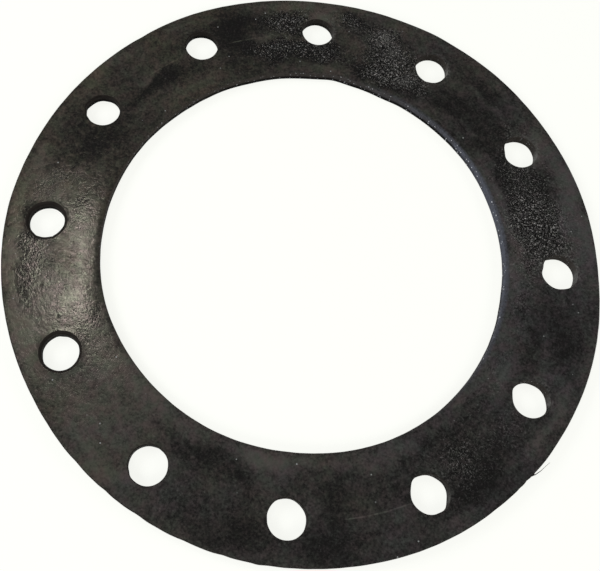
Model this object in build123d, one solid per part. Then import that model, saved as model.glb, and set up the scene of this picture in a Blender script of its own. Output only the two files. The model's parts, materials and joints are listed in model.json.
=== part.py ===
from build123d import *
import os

# Full-face ring gasket for a bolted pipe flange: one flat piece of sheet rubber with a
# round bore and a circle of bolt holes.
# Millimetres. It lies on its lower face. The origin is the centre of the lower face, and
# +Z runs up along the axis of the bore.

# Driving dimensions
bore_diameter = 231.0
bolt_hole_diameter = 21.0
bolt_hole_count = 12
inner_land = 21.5       # rubber between the bore and each bolt hole
outer_land = 12.0       # rubber between each bolt hole and the outer edge
thickness = 7.0
edge_rounding = 0.7     # the soft corner where every cut wall meets a face

# Worked out from them
bolt_circle_diameter = bore_diameter + 2 * inner_land + bolt_hole_diameter
outer_diameter = bolt_circle_diameter + bolt_hole_diameter + 2 * outer_land
hole_pitch_angle = 360.0 / bolt_hole_count
first_hole_angle = hole_pitch_angle / 2   # the holes straddle the X and Y axes


def ring_outline():
    """The flat outline that is cut from the sheet: ring, bore and bolt holes."""
    with BuildSketch() as outline:
        Circle(outer_diameter / 2)
        Circle(bore_diameter / 2, mode=Mode.SUBTRACT)
        with PolarLocations(bolt_circle_diameter / 2, bolt_hole_count, first_hole_angle):
            Circle(bolt_hole_diameter / 2, mode=Mode.SUBTRACT)
    return outline.sketch


def gasket():
    """The outline at the sheet's thickness, with the corners of all its cut walls rounded."""
    blank = extrude(ring_outline(), amount=thickness)
    cut_corners = blank.edges().filter_by(GeomType.CIRCLE)
    return fillet(cut_corners, radius=edge_rounding)


os.makedirs("parts", exist_ok=True)
export_step(gasket(), "parts/gasket.step")
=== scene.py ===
import json
import math

import bpy
from mathutils import Matrix, Vector, noise
from mathutils.geometry import delaunay_2d_cdt


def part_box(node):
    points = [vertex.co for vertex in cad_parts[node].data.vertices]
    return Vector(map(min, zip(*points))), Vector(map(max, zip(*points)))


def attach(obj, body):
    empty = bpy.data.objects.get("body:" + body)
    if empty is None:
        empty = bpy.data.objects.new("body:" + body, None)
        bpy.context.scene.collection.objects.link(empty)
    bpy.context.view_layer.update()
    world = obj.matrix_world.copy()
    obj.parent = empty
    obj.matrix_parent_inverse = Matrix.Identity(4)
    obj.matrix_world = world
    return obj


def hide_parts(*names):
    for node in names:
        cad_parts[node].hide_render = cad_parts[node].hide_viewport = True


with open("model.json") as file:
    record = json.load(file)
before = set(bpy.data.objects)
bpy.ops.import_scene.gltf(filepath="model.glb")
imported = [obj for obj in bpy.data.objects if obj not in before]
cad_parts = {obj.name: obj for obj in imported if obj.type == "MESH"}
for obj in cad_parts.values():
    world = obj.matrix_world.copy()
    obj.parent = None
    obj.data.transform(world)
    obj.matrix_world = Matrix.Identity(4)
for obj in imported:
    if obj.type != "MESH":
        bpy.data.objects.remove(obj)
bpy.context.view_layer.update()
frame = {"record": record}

MM = 0.001

# ---------------------------------------------------------------- sizes, all from the frame
mounts = {mount["name"]: mount for mount in frame["record"]["mounts"]}
_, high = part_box("gasket")
outer_radius = high.x
thickness = high.z
bore_radius = mounts["bore"]["dims"]["r_mm"] * MM
hole_radius = mounts["bolt_holes"]["dims"]["hole_r_mm"] * MM
hole_count = mounts["bolt_holes"]["dims"]["count"]
bolt_circle_radius = mounts["bolt_holes"]["dims"]["pcd_mm"] * MM / 2
rounding = (thickness - mounts["bore"]["dims"]["length_mm"] * MM) / 2

# ---------------------------------------------------------------- mesh density
upper_spacing = 1.15 * MM
lower_spacing = 2.4 * MM
rim_spacing = 1.2 * MM
hole_rim_points = 84
arc_steps = 4           # faces across each rounded corner
wall_steps = 5          # faces down each wall
flat_border = 0.3 * MM  # the flat strip of a face beside each corner
rim_clearance = 0.6     # how far the grid of a face stays off that strip, in grid spacings
pit_clearance = 1.9     # how far it stays off the middle of a pit, in pit radii
# The rings of points that a pit has instead: share of the pit's radius, points on the ring
PIT_RINGS = ((0, 1), (0.35, 6), (0.65, 9), (0.9, 12), (1.15, 14), (1.45, 14))

# ---------------------------------------------------------------- the shape's flaws
# Small pits of the upper face, in millimetres: x, y, radius, depth
PITS = (
    (-128.3, -73.7, 0.7, 0.16),
    (-113.1, -86.0, 0.45, 0.14),
)
# Where the hand-cut outer edge leaves its circle: angle and half width (degrees), depth into the rubber
# (millimetres, below 0 outwards). First the out-of-round runs, then the nicks and burrs.
EDGE_FLAWS = (
    (16, 24, 1.10),
    (62, 20, -0.50),
    (80, 7, -0.40),
    (104, 14, 0.35),
    (133, 18, -0.40),
    (192, 14, -0.35),
    (197, 20, -0.30),
    (75, 24, -0.40),
    (140, 16, -0.30),
    (241, 12, -0.25),
    (232, 30, 0.40),
    (312, 26, -0.60),
    (244, 2.5, 0.30),
    (251, 2.0, 0.25),
    (258, 3.0, 0.35),
    (267, 2.5, 0.30),
    (274, 2.0, 0.25),
    (280, 2.0, -0.30),
    (330.9, 0.9, 0.35),
    (329.0, 0.8, 0.20),
    (332.5, 0.45, -0.55),
    (336, 6, -0.30),
    (146, 3.0, 0.25),
)
# The same for the bore
BORE_FLAWS = (
    (6, 12, -0.45),
    (50, 26, 0.70),
    (84, 9, -0.75),
    (100, 8, 1.10),
    (126, 11, -0.50),
    (148, 30, -1.00),
    (212, 40, 0.95),
    (284, 44, -0.60),
    (288, 24, -0.28),
)
# In millimetres: how far the bore has closed up all round, and how far its middle is off (x, y)
BORE_CLOSED = 0.45
BORE_SHIFT = (-1.1, -0.2)
# Each hand-punched bolt hole, in millimetres: how far it is off its place (x, y), how far it has closed up,
# the width of its upper corner, and where it leaves its circle (as above, the angle seen from its middle)
PUNCHED = (
    (-1.7, -0.4, 0.22, 0.4, ((183, 30, -0.75), (140, 26, 0.36), (295, 40, -0.34), (345, 20, 0.15))),
    (-2.85, 1.4, 0.35, 0.4, ((200, 40, -0.80), (150, 24, 0.60), (40, 40, -0.26))),
    (-3.4, 0.0, 0.46, 0.4, ((75, 60, 0.20), (212, 30, -0.35), (262, 20, 0.30), (338, 20, -0.30))),
    (-2.4, -1.5, 0.88, 0.4, ((20, 18, 0.25), (97, 100, -0.50))),
    (0.0, -1.0, 0.58, 0.5, ((145, 60, 0.22),)),
    (0.3, 0.3, 0.62, 0.8, ((100, 20, -0.16), (180, 26, 0.62), (232, 20, -0.30))),
    (-0.4, 0.2, 0.64, 1.8, ((-48, 5, 0.35), (-100, 14, 0.25), (-15, 40, -0.32), (165, 60, 0.22))),
    (-0.3, 0.4, 0.60, 1.6, ((110, 20, -0.20), (125, 24, 0.30), (205, 24, -0.22))),
    (-1.0, 0.4, 0.24, 0.4, ((25, 50, -0.25), (82, 14, 0.20), (213, 20, -0.30))),
    (-2.2, -0.2, 0.24, 0.4, ((200, 20, -0.25), (60, 60, -0.42), (346, 26, 0.16), (138, 24, 0.28))),
    (-2.7, -2.0, 0.37, 0.4, ((80, 60, -0.38), (341, 34, 0.98), (160, 36, 0.74))),
    (-1.4, -1.7, 0.35, 0.4, ((85, 60, -0.52), (350, 40, 0.98), (168, 30, 0.78))),
)
# Shallow hollows of the upper face that show in the gleam: angle from +X (degrees), radius, length around
# the ring and width across it (millimetres), slant (degrees), depth (millimetres, below 0 raised)
HOLLOWS = (
    (217, 117, 46, 15, 0, 0.13),
    (190, 143, 14, 14, 0, -0.04),
    (238, 146, 30, 26, 0, 0.08),
)
# The waviness of every cut edge, in millimetres: its mean depth on the large edges and in the holes, and the
# length of its waves
EDGE_WANDER = 0.10
HOLE_WANDER = 0.20
WANDER_LENGTH = 7.0
# Further than this from an edge's circle, its unevenness makes no difference (millimetres)
EDGE_REACH = 3.0
# The width of the upper corner of the outer edge and of the bore, in millimetres
OUTER_LIP = 0.3
BORE_LIP = 0.4
# How the upper face dips beside the bore, in millimetres: width and depth of a steep and of a wide margin
STEEP_DIP = (2.7, 0.16)
WIDE_DIP = (13.0, 0.18)
# The waves of the upper face, in millimetres: length and depth
WAVES = (48.0, 0.3)
# A hole whose upper corner is wider than this has a raised margin, which is level out to the first distance
# from the hole and gone at the second, and this high (all in millimetres)
WIDE_CORNER = 1.0
RAISED_MARGIN = (1.1, 3.1, 0.08)
# The raised rim of a pit: its place and height as shares of the pit's radius and depth, and its steepness
PIT_RIM = (1.15, 0.2, 18.0)
# How steeply a listed spot fades, and the angle at which it is taken to be gone (degrees)
SPOT_FADE = 1.2
SPOT_REACH = 60


def polar(radius, angle):
    """The point at a radius and an angle (radians) from the middle."""
    return Vector((radius * math.cos(angle), radius * math.sin(angle)))


def clamped(value, low=0.0, high=1.0):
    return max(low, min(high, value))


def bell(offset, spread):
    """1 where the offset is 0, fading on both sides, with little left at twice the spread."""
    return math.exp(-(offset / spread) ** 2)


def fading(distance, start, end):
    """1 up to the start and 0 beyond the end, both in millimetres, at a distance in metres."""
    return clamped((end * MM - distance) / ((end - start) * MM))


def degrees_off(angle, middle):
    """How far an angle in radians is from a middle in degrees: -180 to 180 degrees."""
    return (math.degrees(angle) - middle + 180) % 360 - 180


bore_middle = Vector(BORE_SHIFT) * MM
hole_middles = []
for k, (off_x, off_y, _, _, _) in enumerate(PUNCHED):
    even_place = polar(bolt_circle_radius, (k + 0.5) * math.tau / hole_count)
    hole_middles.append(even_place + Vector((off_x, off_y)) * MM)


def spots(listed, radius, angle):
    """The sum of the listed spots, each fading smoothly from its middle, at a point of the upper face."""
    total = 0.0
    for spot_angle, spot_radius, length, width, slant, amount in listed:
        turn = degrees_off(angle, spot_angle)
        if abs(turn) < SPOT_REACH:
            along = math.radians(turn) * spot_radius
            across = radius / MM - spot_radius
            lean = math.radians(slant)
            u = (along * math.cos(lean) + across * math.sin(lean)) / (length / 2)
            v = (across * math.cos(lean) - along * math.sin(lean)) / (width / 2)
            total += amount * math.exp(-SPOT_FADE * (u * u + v * v))
    return total


def dip(distance, width, depth):
    """How deep a soft margin lies at a distance (metres) from its edge: it fades over its width."""
    return depth * max(0.0, 1 - distance / (width * MM)) ** 2


def raised_margin(here):
    """How far the margins of the two holes with a wide corner stand up at a point, in millimetres."""
    start, end, height = RAISED_MARGIN
    total = 0.0
    for middle, (_, _, _, corner, _) in zip(hole_middles, PUNCHED):
        if corner > WIDE_CORNER:
            beyond = (here - middle).length - hole_radius
            total += height * fading(beyond, start, end) ** 2
    return total


def pits(here):
    """How deep the pits are at a point, each with a slightly raised rim, in millimetres."""
    rim_place, rim_height, steepness = PIT_RIM
    total = 0.0
    for x, y, size, depth in PITS:
        reach = (here - Vector((x, y)) * MM).length / (size * MM)
        total += depth * max(0.0, 1 - reach ** 2) ** 2
        total -= depth * rim_height * math.exp(-steepness * (reach - rim_place) ** 2)
    return total


def surface_drop(x, y):
    """How far the upper face lies below the full thickness at a point, in metres: the dips beside the bore,
    waves, hollows and pits, less the raised margins of two holes."""
    here = Vector((x, y))
    from_bore = (here - bore_middle).length - bore_radius
    wave_length, wave_depth = WAVES
    wave = 0.5 + 0.5 * noise.noise(Vector((x, y, 0)) / (wave_length * MM))
    drop = dip(from_bore, *STEEP_DIP) + dip(from_bore, *WIDE_DIP) + wave_depth * wave
    drop += spots(HOLLOWS, here.length, math.atan2(y, x))
    drop += pits(here) - raised_margin(here)
    return max(0.0, drop) * MM


class Rim:
    """One closed cut edge: the outer edge, the bore or a bolt hole. Its lip is its upper corner's width."""

    def __init__(self, centre, radius, points, rubber_inside, wander, lip, flaws):
        self.centre = centre
        self.radius = radius
        self.points = points
        self.rubber_inside = rubber_inside
        self.wander = wander
        self.lip = lip
        self.flaws = flaws

    def depth(self, point):
        """How far a point lies into the rubber from this edge."""
        arm = point - self.centre
        ideal = self.radius - arm.length if self.rubber_inside else arm.length - self.radius
        if abs(ideal) > EDGE_REACH * MM:
            return ideal
        return ideal - self.unevenness(math.atan2(arm.y, arm.x))

    def unevenness(self, angle):
        """How far into the rubber the hand-cut edge lies from its ideal circle, in metres."""
        place = (self.centre + polar(self.radius, angle)) / (WANDER_LENGTH * MM)
        uneven = self.wander * (1 + noise.noise(Vector((place.x, place.y, 0))))
        for flaw_angle, half_width, depth in self.flaws:
            uneven += depth * bell(degrees_off(angle, flaw_angle), half_width / 2)
        return uneven * MM

    def ring(self, inset):
        """The points of the edge, moved into the rubber by inset."""
        points = []
        for k in range(self.points):
            angle = k * math.tau / self.points
            into = inset + self.unevenness(angle)
            radius = self.radius - into if self.rubber_inside else self.radius + into
            points.append(self.centre + polar(radius, angle))
        return points


def edge_profile(lip):
    """(inset, height) down a cut edge: flat border, upper corner, wall, lower corner, flat border."""
    quarter = [k * math.pi / 2 / arc_steps for k in range(arc_steps + 1)]
    depth = (rounding + lip) / 2
    upper = [(lip * (1 - math.sin(a)), thickness - depth * (1 - math.cos(a))) for a in quarter]
    lower = [(rounding * (1 - math.sin(a)), rounding * (1 - math.cos(a))) for a in reversed(quarter)]
    wall_height = thickness - depth - rounding
    wall = [(0.0, thickness - depth - wall_height * k / wall_steps) for k in range(1, wall_steps)]
    return [(lip + flat_border, thickness)] + upper + wall + lower + [(rounding + flat_border, 0.0)]


def make_rims():
    """All cut edges: the outer edge, the bore and the bolt holes."""
    outer_points = round(math.tau * outer_radius / rim_spacing)
    bore_points = round(math.tau * bore_radius / rim_spacing)
    closed_radius = bore_radius - BORE_CLOSED * MM
    rims = [
        Rim(Vector((0, 0)), outer_radius, outer_points, True, EDGE_WANDER, OUTER_LIP * MM, EDGE_FLAWS),
        Rim(bore_middle, closed_radius, bore_points, False, EDGE_WANDER, BORE_LIP * MM, BORE_FLAWS),
    ]
    for middle, (_, _, closed, corner, flaws) in zip(hole_middles, PUNCHED):
        radius = hole_radius - (closed + HOLE_WANDER) * MM
        rims.append(Rim(middle, radius, hole_rim_points, False, HOLE_WANDER, corner * MM, flaws))
    return rims


def clear_of_pits(point):
    """True for a point outside the rings that the pits have of their own."""
    return all((point - Vector((x, y)) * MM).length > pit_clearance * size * MM for x, y, size, _ in PITS)


def face_points(rims, spacing):
    """Points of a triangular grid inside a flat face, clear of its rims and pits, and the pits' own rings."""
    clear = rim_clearance * spacing + flat_border
    rows = math.ceil(outer_radius / (spacing * math.sqrt(3) / 2))
    columns = math.ceil(outer_radius / spacing)
    found = []
    for row in range(-rows, rows + 1):
        y = row * spacing * math.sqrt(3) / 2
        for column in range(-columns, columns + 1):
            point = Vector(((column + row % 2 / 2) * spacing, y))
            if all(rim.depth(point) > rim.lip + clear for rim in rims) and clear_of_pits(point):
                found.append(point)
    for x, y, size, _ in PITS:
        for share, count in PIT_RINGS:
            for k in range(count):
                found.append(Vector((x, y)) * MM + polar(share * size * MM, (k + share) * math.tau / count))
    return found


def add_edge(rim, vertices, faces, is_cut):
    """Adds one cut edge, and returns the loops of points where it meets the upper and the lower face."""
    rows = []
    for inset, height in edge_profile(rim.lip):
        first = len(vertices)
        vertices.extend(Vector((p.x, p.y, height)) for p in rim.ring(inset))
        rows.append(range(first, first + rim.points))
    for level, (above, below) in enumerate(zip(rows, rows[1:])):
        for k in range(rim.points):
            following = (k + 1) % rim.points
            quad = (above[k], below[k], below[following], above[following])
            faces.append(quad if rim.rubber_inside else quad[::-1])
            is_cut.append(0 < level < len(rows) - 2)
    return rows[0], rows[-1]


def build_gasket():
    """The gasket as one closed mesh: its cut edges first, then the two faces between them."""
    rims = make_rims()
    vertices = []
    faces = []
    is_cut = []
    loops = [add_edge(rim, vertices, faces, is_cut) for rim in rims]
    upper_loops, lower_loops = zip(*loops)
    fill_face(vertices, faces, rims, upper_loops, upper_spacing, thickness, upward=True)
    fill_face(vertices, faces, rims, lower_loops, lower_spacing, 0.0, upward=False)
    for vertex in vertices:
        vertex.z *= 1 - surface_drop(vertex.x, vertex.y) / thickness
    mesh = bpy.data.meshes.new("gasket_rubber")
    mesh.from_pydata(vertices, [], faces)
    mesh.materials.append(face_material())
    mesh.materials.append(cut_material())
    for polygon, cut in zip(mesh.polygons, is_cut):
        polygon.material_index = int(cut)
    mesh.validate()
    return mesh


def fill_face(vertices, faces, rims, face_loops, spacing, height, upward):
    """Triangulates a flat face between its rims, with a fine even grid."""
    indices = [index for loop in face_loops for index in loop]
    flat = [vertices[index].to_2d() for index in indices]
    edges = []
    start = 0
    for loop in face_loops:
        edges += [(start + k, start + (k + 1) % len(loop)) for k in range(len(loop))]
        start += len(loop)
    inner = face_points(rims, spacing)
    first = len(vertices)
    vertices.extend(Vector((p.x, p.y, height)) for p in inner)
    indices += range(first, first + len(inner))
    owner = {index: (n, k) for n, loop in enumerate(face_loops) for k, index in enumerate(loop)}
    _, _, triangles, origins, _, _ = delaunay_2d_cdt(flat + inner, edges, [], 0, 1e-9)
    for triangle in triangles:
        corners = [indices[origins[k][0]] for k in triangle]
        if fills_rubber(corners, vertices, rims, owner):
            faces.append(corners if turns_left(corners, vertices) == upward else corners[::-1])


def turns_left(corners, vertices):
    """True for a triangle whose corners run anticlockwise, seen from above."""
    a, b, c = (vertices[index].to_2d() for index in corners)
    return (b - a).cross(c - a) > 0


def fills_rubber(corners, vertices, rims, owner):
    """False for a triangle that would close the bore, a hole or an inward bend of the outer edge. Only a
    triangle with all corners on one rim can: owner says which rim a point is on, and where in its order."""
    places = [owner.get(index) for index in corners]
    if None in places or len({rim for rim, _ in places}) > 1:
        return True
    in_order = [index for _, index in sorted(zip(places, corners))]
    return turns_left(in_order, vertices) == rims[places[0][0]].rubber_inside


# ---------------------------------------------------------------- materials
# A scribed line fades between these distances from its middle, in millimetres
LINE_CORE = 0.1
LINE_EDGE = 0.55


class Nodes:
    """Short calls for building one material's node tree."""

    def __init__(self, material):
        material.use_nodes = True
        self.tree = material.node_tree
        self.shader = self.tree.nodes["Principled BSDF"]

    def add(self, kind, **settings):
        node = self.tree.nodes.new(kind)
        for name, value in settings.items():
            setattr(node, name, value)
        return node

    def feed(self, socket, value):
        """Links a socket to another node's output, or sets it to a constant."""
        if isinstance(value, bpy.types.NodeSocket):
            self.tree.links.new(value, socket)
        else:
            socket.default_value = value

    def math(self, operation, a, b=0.0, clamp=False):
        node = self.add("ShaderNodeMath", operation=operation, use_clamp=clamp)
        self.feed(node.inputs[0], a)
        self.feed(node.inputs[1], b)
        return node.outputs[0]

    def weighted(self, *terms):
        """The sum of values, each times its weight."""
        total = self.math("MULTIPLY", *terms[0])
        for value, weight in terms[1:]:
            total = self.math("ADD", total, self.math("MULTIPLY", value, weight))
        return total

    def ramp(self, value, start, end, low=0.0, high=1.0):
        """value from start..end, eased into low..high."""
        node = self.add("ShaderNodeMapRange", interpolation_type="SMOOTHSTEP")
        self.feed(node.inputs["Value"], value)
        self.feed(node.inputs["From Min"], start)
        self.feed(node.inputs["From Max"], end)
        self.feed(node.inputs["To Min"], low)
        self.feed(node.inputs["To Max"], high)
        return node.outputs["Result"]

    def mix(self, factor, a, b, blend="MIX"):
        node = self.add("ShaderNodeMix", data_type="RGBA", blend_type=blend)
        self.feed(node.inputs[0], factor)
        self.feed(node.inputs[6], a)
        self.feed(node.inputs[7], b)
        return node.outputs[2]

    def noise(self, place, size_mm, detail=2.0, roughness=0.5, distortion=0.0):
        node = self.add("ShaderNodeTexNoise")
        self.feed(node.inputs["Vector"], place)
        self.feed(node.inputs["Scale"], 1 / size_mm)
        self.feed(node.inputs["Detail"], detail)
        self.feed(node.inputs["Roughness"], roughness)
        self.feed(node.inputs["Distortion"], distortion)
        return node.outputs["Fac"]

    def attribute(self, name):
        return self.add("ShaderNodeAttribute", attribute_name=name).outputs["Fac"]

    def parts(self, place):
        """The x, y and z of a vector."""
        split = self.add("ShaderNodeSeparateXYZ")
        self.feed(split.inputs[0], place)
        return split.outputs[:3]

    def vector_math(self, operation, a, b=None):
        node = self.add("ShaderNodeVectorMath", operation=operation)
        self.feed(node.inputs[0], a)
        if b is not None:
            self.feed(node.inputs["Scale" if operation == "SCALE" else 1], b)
        return node.outputs["Value" if operation == "LENGTH" else 0]

    def millimetres(self):
        """The point on the object, in millimetres."""
        return self.vector_math("SCALE", self.add("ShaderNodeTexCoord").outputs["Object"], 1 / MM)

    def swept(self, place, stretch):
        """Coordinates in which a pattern is drawn out around the ring."""
        x, y, _ = self.parts(place)
        flat = self.add("ShaderNodeCombineXYZ")
        self.feed(flat.inputs[0], x)
        self.feed(flat.inputs[1], y)
        around = self.vector_math("NORMALIZE", flat.outputs[0])
        wide = self.vector_math("SCALE", around, bolt_circle_radius / MM / stretch)
        out = self.add("ShaderNodeCombineXYZ")
        self.feed(out.inputs[2], self.vector_math("LENGTH", flat.outputs[0]))
        return self.vector_math("ADD", wide, out.outputs[0])

    def arc(self, place, radius_mm, first, last):
        """1 on a fine arc about the ring's middle, between two angles in degrees, fading to 0 at its ends."""
        x, y, _ = self.parts(place)
        middle = math.radians((first + last) / 2)
        half = math.radians(last - first) / 2
        off_middle = self.math("SUBTRACT", self.math("ARCTAN2", y, x), middle)
        along = self.ramp(self.math("ABSOLUTE", off_middle), half, half * 0.7)
        squares = [self.math("MULTIPLY", part, part) for part in (x, y)]
        off_radius = self.math("SUBTRACT", self.math("SQRT", self.math("ADD", *squares)), radius_mm)
        across = self.ramp(self.math("ABSOLUTE", off_radius), LINE_EDGE, LINE_CORE)
        return self.math("MULTIPLY", along, across)

    def dots(self, place, size_mm):
        """Round grains: 1 in the middle of each and 0 between them, and a number for each grain."""
        cells = self.add("ShaderNodeTexVoronoi", feature="F1")
        self.feed(cells.inputs["Vector"], place)
        self.feed(cells.inputs["Scale"], 1 / size_mm)
        each = self.add("ShaderNodeSeparateColor")
        self.feed(each.inputs[0], cells.outputs["Color"])
        return self.ramp(cells.outputs["Distance"], 0.55, 0.12), each.outputs[0]

    def bump(self, height, strength, distance, under=None):
        node = self.add("ShaderNodeBump")
        self.feed(node.inputs["Strength"], strength)
        self.feed(node.inputs["Distance"], distance)
        self.feed(node.inputs["Height"], height)
        if under is not None:
            self.feed(node.inputs["Normal"], under)
        return node.outputs["Normal"]


# Faint scribed arcs on the upper face: radius (millimetres), first and last angle (degrees), strength
SCRIBES = (
    (147.6, -65.5, -50.0, 0.8),
    (142.7, 117.0, 129.5, 0.7),
    (144.6, 141.0, 152.0, 0.4),
)
# Colours of the faces
BARE_RUBBER = (0.0078, 0.0073, 0.0071, 1)
# painted shade for the hollows of the coarse grain
SHADED_HOLLOW = (0.0030, 0.0028, 0.0027, 1)
GREY_DUST = (0.061, 0.0595, 0.0605, 1)
OLIVE_DUST = (0.076, 0.0695, 0.0485, 1)
PINK_CAST = (1.10, 0.95, 1.02, 1)
GREEN_CAST = (0.93, 1.04, 0.98, 1)
# pale dust on the crests of the coarse grain, and partly a painted glint there
CREST_DUST_AND_GLINT = (0.45, 0.44, 0.43, 1)
FLAKE = (0.26, 0.27, 0.27, 1)
# white dust caught in the grain, and also the painted highlight on the margins of some holes
CHALK_AND_GLEAM = (0.110, 0.108, 0.104, 1)
POWDER = (0.075, 0.081, 0.100, 1)
# Tints of their reflections
PINK_FILM = (1.0, 0.86, 0.94, 1)
GREEN_FILM = (0.89, 1.0, 0.88, 1)
GRITTY_FILM = (0.55, 0.55, 0.55, 1)
# reflections darkened in the hollows of the coarse grain: painted shade
SHADED_HOLLOW_FILM = (0.15, 0.15, 0.15, 1)
# Colours of the cut walls
DARK_CUT = (0.011, 0.0095, 0.0085, 1)
BROWN_CUT = (0.030, 0.026, 0.023, 1)
RUBBED_CUT = (0.050, 0.044, 0.039, 1)
CUT_POWDER = (0.088, 0.095, 0.118, 1)
# a painted streak of light on the hole walls of the dusty side, and the chalk of the listed spots
CUT_CHALK_AND_LIGHT = (0.17, 0.168, 0.160, 1)
# Near black painted shade for the walls low down, towards the floor
LOW_WALL_SHADE = (0.0015, 0.0012, 0.001, 1)
WHITE_SPECK = (0.70, 0.72, 0.76, 1)


class FaceGrain:
    """The patterns that the colour, gloss and relief of the faces share."""

    def __init__(self, nodes):
        self.place = nodes.millimetres()
        self.swept = nodes.swept(self.place, 3.0)
        self.fine = nodes.noise(self.place, 1.25, detail=2.0, roughness=0.6)
        self.wrinkle = nodes.noise(self.place, 1.0, detail=2.0, roughness=0.65, distortion=0.6)
        self.mottle = nodes.noise(self.place, 3.6, detail=3.0, roughness=0.6)
        coarse = nodes.attribute("coarse")
        patchy = nodes.noise(self.place, 4.5, detail=3.0, roughness=0.6)
        # how strongly the relief stands out, how coarse the colours are, and the hollows of the coarse grain
        # that get painted shade
        self.relief = nodes.ramp(nodes.weighted((coarse, 1.0), (patchy, 0.2)), 0.08, 0.70, 0.03, 0.75)
        self.coarse = nodes.ramp(nodes.weighted((coarse, 1.0), (patchy, 0.5)), 0.22, 1.15, 0.03, 1.0)
        self.hollow_shade = nodes.math("MULTIPLY", self.coarse, nodes.ramp(self.wrinkle, 0.53, 0.40))


def face_bloom(nodes, grain):
    """How thickly dust lies on the faces, from 0 to 1."""
    cloud = nodes.noise(grain.swept, 9.0, detail=5.0, roughness=0.55, distortion=0.3)
    contrast = nodes.ramp(grain.coarse, 0.0, 1.0, 1.0, 3.2)
    speckle = nodes.math("MULTIPLY", nodes.math("SUBTRACT", grain.fine, 0.5), contrast)
    smudge = nodes.attribute("smudge")
    bloom = nodes.weighted((cloud, 0.70), (grain.mottle, 0.55), (smudge, 0.42), (grain.coarse, -0.66))
    bloom = nodes.ramp(nodes.math("ADD", bloom, speckle), 0.18, 1.22)
    broken = nodes.ramp(grain.mottle, 0.35, 0.6, 0.3)
    for radius, first, last, strength in SCRIBES:
        line = nodes.math("MULTIPLY", nodes.arc(grain.place, radius, first, last), broken)
        bloom = nodes.math("ADD", bloom, nodes.math("MULTIPLY", line, strength), clamp=True)
    return bloom


def dust_colour(nodes, grain):
    """Grey dust that turns olive around the left of the ring, with faint pink and green casts."""
    tint = nodes.math("SUBTRACT", nodes.noise(grain.place, 20.0, detail=2.0), 0.5)
    tint = nodes.math("ADD", nodes.attribute("olive"), tint, clamp=True)
    dust = nodes.mix(tint, GREY_DUST, OLIVE_DUST)
    cast = nodes.ramp(nodes.noise(grain.place, 7.0, detail=2.0), 0.35, 0.65)
    return nodes.mix(1.0, dust, nodes.mix(cast, PINK_CAST, GREEN_CAST), "MULTIPLY")


def face_colour(nodes, grain, bloom):
    """Bare rubber under dust, with painted shade in the grain's hollows, pale dust and painted glints on its
    crests, a few pale flakes, chalk in the grain and a painted highlight on some hole margins, powder.
    """
    uneven = nodes.ramp(nodes.noise(grain.place, 3.0, detail=2.0), 0.35, 0.65, 0.35, 1.0)
    # pale dust and painted glints on the crests of the coarse grain
    crest_dust_and_glint = nodes.math("MULTIPLY", nodes.ramp(grain.wrinkle, 0.53, 0.72), uneven)
    crest_dust_and_glint = nodes.math("MULTIPLY", crest_dust_and_glint, grain.coarse)
    flake, rare = nodes.dots(grain.place, 2.0)
    flake = nodes.math("MULTIPLY", nodes.ramp(flake, 0.80, 0.98), nodes.ramp(rare, 0.988, 0.996))
    caught = nodes.ramp(grain.fine, 0.42, 0.62, 0.12, 1.2)
    # chalk in the grain, and the painted highlight on hole margins that the same field carries
    chalk_and_gleam = nodes.math("MULTIPLY", nodes.attribute("chalk_and_light"), caught, clamp=True)
    worn = nodes.ramp(grain.fine, 0.3, 0.7, 0.4, 1.0)
    powder = nodes.math("MULTIPLY", nodes.ramp(nodes.attribute("dusty"), 0.3, 1.0), worn)
    colour = nodes.mix(bloom, BARE_RUBBER, dust_colour(nodes, grain))
    # painted shade in the hollows of the coarse grain
    colour = nodes.mix(grain.hollow_shade, colour, SHADED_HOLLOW)
    colour = nodes.mix(crest_dust_and_glint, colour, CREST_DUST_AND_GLINT)
    colour = nodes.mix(flake, colour, FLAKE)
    colour = nodes.mix(chalk_and_gleam, colour, CHALK_AND_GLEAM)
    return nodes.mix(powder, colour, POWDER)


def face_roughness(nodes, grain, bloom):
    """Dusty rubber is duller than rubbed rubber."""
    dusty = nodes.weighted((bloom, 0.4), (grain.mottle, 0.8))
    roughness = nodes.ramp(dusty, 0.3, 0.9, 0.114, 0.191)
    return nodes.weighted((roughness, 1.0), (nodes.attribute("dull"), 0.12))


def face_film(nodes, grain):
    """The tint of the reflections: faintly pink and green, broken by grit, nearly black in the hollows of the
    coarse grain, which is painted shade.
    """
    film = nodes.ramp(nodes.noise(grain.place, 6.5, detail=2.0, roughness=0.6), 0.36, 0.64)
    film = nodes.mix(film, PINK_FILM, GREEN_FILM)
    grit = nodes.noise(grain.place, 0.9, detail=2.0, roughness=0.7)
    film = nodes.mix(nodes.ramp(grit, 0.60, 0.42), film, GRITTY_FILM)
    return nodes.mix(grain.hollow_shade, film, SHADED_HOLLOW_FILM)


def face_normal(nodes, grain):
    """Soft swells all over, and the pebbled grain on them as strong as its relief."""
    ripple = nodes.noise(grain.swept, 1.2, detail=2.0, roughness=0.6)
    pebble = nodes.noise(grain.place, 0.75, detail=1.0)
    height = nodes.weighted((grain.fine, 0.6), (grain.wrinkle, 0.5), (pebble, 1.3), (ripple, 0.7))
    swell = nodes.bump(grain.mottle, 0.6, 0.12 * MM)
    return nodes.bump(height, grain.relief, 0.5 * MM, swell)


def face_material():
    """The moulded faces of the sheet."""
    material = bpy.data.materials.new("black_rubber")
    nodes = Nodes(material)
    grain = FaceGrain(nodes)
    bloom = face_bloom(nodes, grain)
    nodes.feed(nodes.shader.inputs["Base Color"], face_colour(nodes, grain, bloom))
    nodes.feed(nodes.shader.inputs["Roughness"], face_roughness(nodes, grain, bloom))
    nodes.feed(nodes.shader.inputs["Specular Tint"], face_film(nodes, grain))
    nodes.feed(nodes.shader.inputs["Normal"], face_normal(nodes, grain))
    return material


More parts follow.
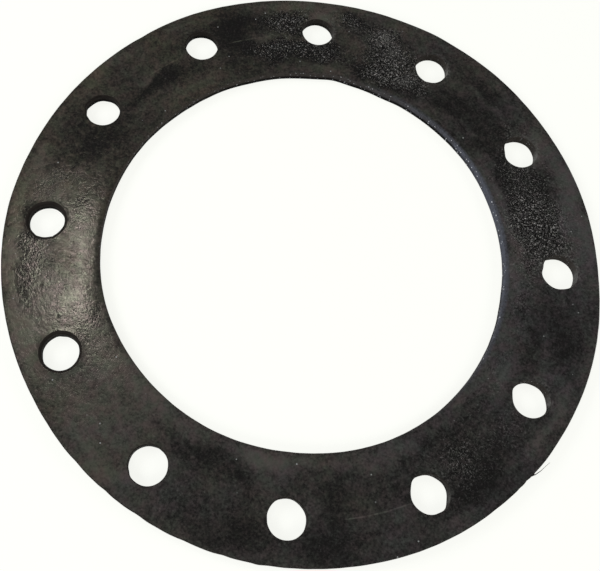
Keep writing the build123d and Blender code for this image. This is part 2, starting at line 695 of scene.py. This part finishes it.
def cut_colour(nodes, place, marks):
    """Dark cut rubber, rubbed and powdered where dusty, with chalk and a painted streak of light on some hole
    walls, painted shade low down and white specks.
    """
    dusty = nodes.attribute("dusty")
    streaks = nodes.noise(nodes.swept(place, 6.0), 1.2, detail=3.0, roughness=0.6)
    uneven = nodes.ramp(nodes.math("ADD", marks, streaks), 0.7, 1.3, 0.45, 1.25)
    rubbed = nodes.math("MULTIPLY", nodes.ramp(dusty, 0.0, 0.3), uneven)
    powder = nodes.math("MULTIPLY", nodes.ramp(dusty, 0.3, 1.0), uneven)
    # a painted streak of light on the hole walls of the dusty side, where the left lamp falls, and the chalk
    # of the listed spots
    chalk_and_gleam = nodes.math("MULTIPLY", nodes.attribute("chalk_and_light"), uneven, clamp=True)
    height = nodes.parts(place)[2]
    # painted shade: the walls darken low down, towards the floor
    low_shade = nodes.math("MULTIPLY", nodes.ramp(height, 4.2, 2.2, 0.0, 0.97), nodes.attribute("shaded_low"))
    dot, chance = nodes.dots(place, 1.5)
    speck = nodes.math("MULTIPLY", nodes.ramp(dot, 0.55, 0.95), nodes.ramp(chance, 0.70, 0.80))
    speck = nodes.math("MULTIPLY", speck, dusty)
    colour = nodes.mix(nodes.noise(place, 6.0, detail=3.0), DARK_CUT, BROWN_CUT)
    colour = nodes.mix(rubbed, colour, RUBBED_CUT)
    colour = nodes.mix(powder, colour, CUT_POWDER)
    colour = nodes.mix(chalk_and_gleam, colour, CUT_CHALK_AND_LIGHT)
    colour = nodes.mix(low_shade, colour, LOW_WALL_SHADE)
    return nodes.mix(speck, colour, WHITE_SPECK)


def cut_material():
    """The cut walls and corners: matt, with fine marks of the blade down the wall."""
    material = bpy.data.materials.new("cut_rubber")
    nodes = Nodes(material)
    place = nodes.millimetres()
    upright = nodes.vector_math("MULTIPLY", place, (1.0, 1.0, 0.15))
    marks = nodes.noise(upright, 0.9, detail=3.0, roughness=0.6)
    nodes.feed(nodes.shader.inputs["Base Color"], cut_colour(nodes, place, marks))
    nodes.feed(nodes.shader.inputs["Roughness"], nodes.ramp(marks, 0.3, 0.7, 0.60, 0.75))
    nodes.shader.inputs["Specular IOR Level"].default_value = 0.03
    nodes.feed(nodes.shader.inputs["Normal"], nodes.bump(marks, 0.5, 0.3 * MM))
    return material


def floor_material():
    """A pale floor that the camera and reflections see as near white, with the shadow kept."""
    material = bpy.data.materials.new("floor")
    nodes = Nodes(material)
    rays = nodes.add("ShaderNodeLightPath")
    seen = nodes.math("MAXIMUM", rays.outputs["Is Camera Ray"], rays.outputs["Is Glossy Ray"])
    seen = nodes.math("MAXIMUM", seen, rays.outputs["Is Transmission Ray"])
    paint = nodes.mix(seen, (0.9, 0.9, 0.9, 1), (0.17, 0.17, 0.165, 1))
    nodes.feed(nodes.shader.inputs["Base Color"], paint)
    nodes.shader.inputs["Roughness"].default_value = 0.9
    nodes.shader.inputs["Emission Color"].default_value = (0.99, 1.0, 0.955, 1)
    nodes.feed(nodes.shader.inputs["Emission Strength"], nodes.math("MULTIPLY", seen, 0.86))
    return material


# ---------------------------------------------------------------- where the materials change
# Smudges on the upper face: angle from +X (degrees), radius, length around the ring and width across it
# (millimetres), slant (degrees), amount (below 0 rubbed bare, above 0 more bloom)
SMUDGES = (
    (4, 146, 26, 30, 0, -0.4),
    (16, 138, 30, 14, 0, 0.8),
    (35, 139, 22, 34, 0, -0.9),
    (43, 129, 32, 18, 0, -0.3),
    (54, 137, 34, 26, 10, -0.7),
    (45, 150, 24, 20, 0, 1.3),
    (67, 133, 34, 14, -12, -0.6),
    (58, 131, 44, 5, -14, 0.6),
    (60, 151, 42, 5, 0, 0.2),
    (65, 127, 28, 7, 0, -0.7),
    (63, 157, 34, 8, 0, -0.8),
    (84, 122, 22, 8, 0, -0.9),
    (86, 140, 34, 36, 0, 0.4),
    (90, 152, 14, 15, 0, 1.2),
    (82, 134, 30, 7, -40, 0.6),
    (92, 126, 18, 15, 0, -1.0),
    (103, 121, 28, 12, 0, 0.8),
    (97, 159, 24, 10, 0, -0.45),
    (111, 131, 56, 20, 0, -1.0),
    (117, 142, 46, 7, 2, 0.9),
    (127, 145, 22, 40, 0, -1.0),
    (121, 155, 40, 14, 0, -0.6),
    (141, 122, 40, 14, 0, 0.4),
    (150, 139, 42, 9, 0, -1.4),
    (150, 145, 54, 6, 2, 0.4),
    (136, 152, 30, 14, 0, -0.35),
    (105, 156, 26, 12, 0, 1.4),
    (138, 162, 30, 10, 0, 0.3),
    (168, 131, 26, 18, 0, -0.5),
    (175, 142, 18, 26, 0, -0.4),
    (190, 145, 22, 12, 0, 1.4),
    (191, 132, 22, 10, 0, -0.8),
    (222, 161, 48, 20, 0, 1.1),
    (202, 155, 40, 13, 0, -1.3),
    (199, 136, 34, 18, 0, 0.7),
    (220, 129, 18, 12, 0, -0.9),
    (188, 157, 22, 10, 0, 0.5),
    (182, 163, 34, 10, 0, 0.5),
    (232, 128, 26, 18, 0, 0.7),
    (203, 165, 110, 9, 0, 1.0),
    (27, 154, 54, 12, 0, 1.2),
    (31, 120, 76, 9, 0, 0.9),
    (248, 163, 60, 12, 0, 0.6),
    (342, 162, 50, 10, 0, 0.8),
    (97, 138, 26, 14, 0, 0.4),
    (205, 154, 26, 10, 0, -0.2),
    (20, 166, 100, 8, 0, 0.4),
    (32, 163, 96, 14, 0, 1.0),
    (14, 122, 100, 12, 0, 0.6),
    (112, 163, 40, 12, 0, 0.6),
    (157, 166, 46, 8, 0, 0.8),
    (100, 166, 150, 7, 0, 0.4),
    (262, 128, 40, 16, 4, -0.6),
    (266, 157, 32, 24, 0, -0.5),
    (258, 119, 60, 8, 0, 0.4),
    (273, 131, 14, 10, 0, -0.4),
    (275, 149, 20, 30, 0, -0.5),
    (293, 143, 15, 32, 0, -0.45),
    (286, 152, 14, 11, 0, 0.6),
    (278, 120, 34, 10, 0, 1.2),
    (295, 128, 24, 18, 0, -0.5),
    (318, 126, 64, 7, 0, -0.5),
    (344, 127, 20, 8, 0, 0.8),
    (340, 119, 90, 9, 0, 0.5),
    (287, 121, 90, 10, 0, 0.3),
    (241, 143, 70, 60, 0, 0.65),
    (306, 120, 60, 12, 0, 0.5),
    (246, 120, 44, 10, 0, 0.5),
    (328, 157, 46, 16, 0, -0.35),
    (321, 153, 40, 20, 0, -0.7),
    (292, 160, 44, 16, 0, -0.6),
    (276, 161, 30, 16, 0, -0.3),
    (171, 148, 34, 38, 0, -0.45),
    (356, 135, 22, 12, 0, -0.8),
    (347, 131, 36, 7, -14, 0.5),
    (357, 155, 28, 12, 0, -0.8),
    (351, 152, 8, 10, 0, 0.4),
)
# Where the rubber is duller, in the same terms
DULL = (
    (223, 123, 30, 14, 0, 0.35),
)
# Where white dust has caught in the grain, in the same terms
CHALKED = (
    (90, 152, 11, 12, 0, 1.0),
    (80, 130, 16, 8, -30, 0.45),
    (86, 141, 12, 12, 0, 0.40),
)
# Where the grain stands out, in the same terms
COARSE = (
    (27, 136, 58, 36, 0, 1.0),
    (44, 140, 24, 34, 0, 0.4),
    (90, 152, 18, 18, 0, 0.8),
    (85, 138, 36, 30, 0, 0.8),
    (88, 123, 30, 14, 0, 0.5),
    (79, 129, 24, 12, 0, 0.5),
    (111, 133, 60, 18, 0, 0.65),
    (113, 155, 34, 20, 0, 0.6),
    (98, 158, 26, 14, 0, 0.6),
    (203, 143, 56, 38, 0, 0.15),
    (186, 146, 26, 26, 0, 0.2),
    (5, 124, 40, 14, 0, 0.25),
    (52, 150, 24, 20, 0, 0.2),
    (343, 124, 50, 12, 0, 0.2),
    (322, 141, 40, 34, 0, 0.30),
    (335, 146, 30, 28, 0, 0.2),
    (263, 148, 30, 26, 0, 0.08),
)
# The outlines of all these wander by about this much, over this length (millimetres), with this seed
DRIFT = 5
DRIFT_LENGTH = 16
DRIFT_SEED = 3
# The tint of the bloom, from 0 grey to 1 olive. Around the ring: its mean, its swing and its most olive side
# (degrees)
OLIVE_RING = (0.46, 0.34, 180)
# A greyer stretch: how much less, its angle and its spread (degrees)
OLIVE_DIP = (0.18, 250, 32)
# More olive towards the outer edge: by what share, and from which radius to which (millimetres)
OLIVE_RIM = (0.1, 152, 162)
# Pale dust lies thickest on this side of the ring (degrees)
DUSTY_SIDE = 30
# Dust along the bore: its least amount, what the dusty side adds, the spread of that side (degrees), and the
# distances from the bore between which it fades (millimetres)
BORE_DUST = (0.3, 0.7, 52, 0.96, 3.36)
# Dust in the holes: the spread of the dusty side (degrees), the amount, the share of the painted shade low on
# the walls that it hides, and the distance outside the hole at which it is gone (millimetres)
HOLE_DUST = (80, 0.2, 0.85, 0.5)
# A painted streak of light on a hole's wall, where the left lamp falls: its angle seen from the hole's middle
# and its spread (degrees)
WALL_LIGHT_STREAK = (3, 22)
# A painted highlight on a hole's margin, in the colour of chalk: amount, distance from the hole and spread
# (millimetres), then as on the wall
MARGIN_HIGHLIGHT = (0.85, 1.1, 0.7, 45, 45)
# How quickly the painted shade low on the walls takes over where the dust along the bore thins out
SHADE_GAIN = 5
# The dust in and around a hole has ended at this distance outside it (millimetres)
NEAR_HOLE = 4

FIELDS = ("smudge", "coarse", "dull", "olive", "dusty", "shaded_low", "chalk_and_light")


def olive_tint(radius, angle):
    """The tint of the bloom at a point of the upper face, from 0 grey to 1 olive."""
    mean, swing, side = OLIVE_RING
    olive = mean + swing * math.cos(angle - math.radians(side))
    less, side, spread = OLIVE_DIP
    olive -= less * bell(degrees_off(angle, side), spread)
    share, start, end = OLIVE_RIM
    return olive + share * olive * clamped((radius / MM - start) / (end - start))


def face_fields(radius, angle):
    """smudge, coarse, dull and olive at a point of a face."""
    smudge = clamped(spots(SMUDGES, radius, angle), -1.0, 1.5)
    coarse = min(1.0, spots(COARSE, radius, angle))
    dull = min(1.0, spots(DULL, radius, angle))
    return smudge, coarse, dull, olive_tint(radius, angle)


def edge_fields(here, chalk_and_light):
    """The dust, the painted shade low down and the chalk with painted light at a point: pale dust along the
    bore and in the holes of the dusty side, painted shade low down on the other walls, a painted streak of
    light on the walls of those holes and a painted highlight on their margins."""
    turn = math.degrees(math.atan2(here.y, here.x)) - DUSTY_SIDE
    least, added, spread, start, end = BORE_DUST
    from_bore = (here - bore_middle).length - bore_radius
    dusty = (least + added * bell(turn, spread)) * fading(from_bore, start, end)
    # painted shade low on the walls, wherever the dust along the bore thins out
    shaded_low = clamped(SHADE_GAIN * (1.0 - dusty))
    spread, amount, hidden, end = HOLE_DUST
    on_side = math.exp(-(turn / spread) ** 4)
    for middle in hole_middles:
        arm = here - middle
        beyond = arm.length - hole_radius
        if beyond < NEAR_HOLE * MM:
            facing = math.degrees(math.atan2(arm.y, arm.x))
            near = on_side * fading(beyond, 0, end)
            dusty += amount * near
            shaded_low *= 1 - hidden * near
            # a painted streak of light on the wall and a painted highlight on the margin, both carried with
            # the chalk
            chalk_and_light += near * bell(facing - WALL_LIGHT_STREAK[0], WALL_LIGHT_STREAK[1])
            chalk_and_light += on_side * margin_highlight(beyond, facing)
    return dusty, shaded_low, chalk_and_light


def margin_highlight(beyond, facing):
    """The painted highlight at a distance (metres) outside a hole and an angle (degrees) seen from its
    middle.
    """
    amount, distance, width, side, spread = MARGIN_HIGHLIGHT
    return amount * bell(beyond - distance * MM, width * MM) * bell(facing - side, spread)


def add_surface_fields(mesh):
    """Gives every point of the mesh the values that the materials read: smudge (bloom or bare), coarse (grain
    that stands out), dull, olive (tint of the bloom), dusty, the painted shade low on the walls, and chalk
    with painted light."""
    for name in FIELDS:
        mesh.attributes.new(name, "FLOAT", "POINT")
    stored = [mesh.attributes[name].data for name in FIELDS]
    # turbulence_vector would otherwise be seeded by the time and differ at each run
    noise.seed_set(DRIFT_SEED)
    for vertex in mesh.vertices:
        here = vertex.co.to_2d()
        place = here.to_3d() / (DRIFT_LENGTH * MM)
        drifted = here + DRIFT * MM * noise.turbulence_vector(place, 2, False).to_2d()
        radius = drifted.length
        angle = math.atan2(drifted.y, drifted.x)
        chalk_and_light = max(0.0, spots(CHALKED, radius, angle))
        values = face_fields(radius, angle) + edge_fields(here, chalk_and_light)
        for data, value in zip(stored, values):
            data[vertex.index].value = value


# ---------------------------------------------------------------- the scene
def add_gasket():
    mesh = build_gasket()
    add_surface_fields(mesh)
    mesh.shade_smooth()
    gasket = bpy.data.objects.new("gasket_ring", mesh)
    bpy.context.scene.collection.objects.link(gasket)
    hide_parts("gasket")
    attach(gasket, "root")


def add_thread():
    """The hair of rubber that the knife left hanging from the outer edge."""
    radius = 0.36 * MM
    # x, y and z in millimetres, and the share of the radius there
    route = (
        (150.2, -77.8, 4.2, 0.9),
        (151.9, -78.1, 4.0, 0.8),
        (153.5, -76.4, 3.6, 0.6),
        (155.6, -73.9, 3.0, 0.4),
        (157.0, -71.6, 2.2, 0.3),
        (160.0, -67.6, 0.5, 0.2),
    )
    curve = bpy.data.curves.new("edge_thread", "CURVE")
    curve.dimensions = "3D"
    curve.bevel_depth = radius
    curve.bevel_resolution = 2
    curve.resolution_u = 6
    curve.use_fill_caps = True
    spline = curve.splines.new("NURBS")
    spline.points.add(len(route) - 1)
    for point, (x, y, z, share) in zip(spline.points, route):
        point.co = (x * MM, y * MM, z * MM, 1)
        point.radius = share
    spline.order_u = 3
    spline.use_endpoint_u = True
    thread = bpy.data.objects.new("edge_thread", curve)
    bpy.context.scene.collection.objects.link(thread)
    curve.materials.append(bpy.data.materials["cut_rubber"])
    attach(thread, "root")


def add_floor():
    """A floor so wide that views from above don't show its edge."""
    bpy.ops.mesh.primitive_plane_add(size=40)
    floor = bpy.context.object
    floor.name = "floor"
    floor.data.materials.append(floor_material())


def add_camera():
    """A camera fitted to the photo's outlines. Its lens is shifted, because the photo is a crop."""
    place = Vector((0.00326, -0.19281, 0.47391))
    aim = Vector((-0.02532, 0.00863, 0.00700))
    roll = math.radians(12.203)
    data = bpy.data.cameras.new("camera")
    data.lens = 53.358
    data.shift_x = 0.04742
    data.shift_y = -0.11067
    data.clip_start = 0.01
    camera = bpy.data.objects.new("camera", data)
    turn = (aim - place).to_track_quat("-Z", "Y").to_matrix().to_4x4()
    camera.matrix_world = Matrix.Translation(place) @ turn @ Matrix.Rotation(roll, 4, "Z")
    bpy.context.scene.collection.objects.link(camera)
    bpy.context.scene.camera = camera


def add_area_light(name, place, aim, size, power, colour, spin=0):
    """A rectangular lamp at a place, aimed at a point and turned about its own axis by spin (degrees)."""
    data = bpy.data.lights.new(name, "AREA")
    data.shape = "RECTANGLE"
    data.size, data.size_y = size
    data.energy = power
    data.color = colour
    light = bpy.data.objects.new(name, data)
    light.location = place
    turn = (Vector(aim) - Vector(place)).to_track_quat("-Z", "Y").to_matrix()
    light.rotation_euler = (turn @ Matrix.Rotation(math.radians(spin), 3, "Z")).to_euler()
    bpy.context.scene.collection.objects.link(light)


def add_lights():
    """A small warm lamp whose reflection is the gleam on the left, and three large soft lamps."""
    middle = (0, 0, 0)
    gleam = (-0.113, -0.066, 0)
    warm = (1.0, 0.92, 0.77)
    cool = (0.95, 0.98, 1.0)
    mild = (1.0, 0.98, 0.95)
    add_area_light("key", (-0.428, 0.295, 1.27), gleam, (0.080, 0.219), 1.175, warm, spin=-23)
    add_area_light("left", (-1.2, -0.1, 0.95), middle, (1.0, 0.6), 12, cool)
    add_area_light("right", (1.15, 0.35, 0.95), middle, (1.0, 0.6), 6, mild)
    add_area_light("front", (0.1, -1.2, 1.05), middle, (1.2, 0.6), 9, mild)


def add_world(strength):
    world = bpy.data.worlds.new("studio")
    world.use_nodes = True
    background = world.node_tree.nodes["Background"]
    background.inputs["Color"].default_value = (1, 1, 1, 1)
    background.inputs["Strength"].default_value = strength
    bpy.context.scene.world = world


add_gasket()
add_thread()
add_floor()
add_camera()
add_lights()
add_world(0.13)
bpy.context.scene.view_settings.view_transform = "Standard"
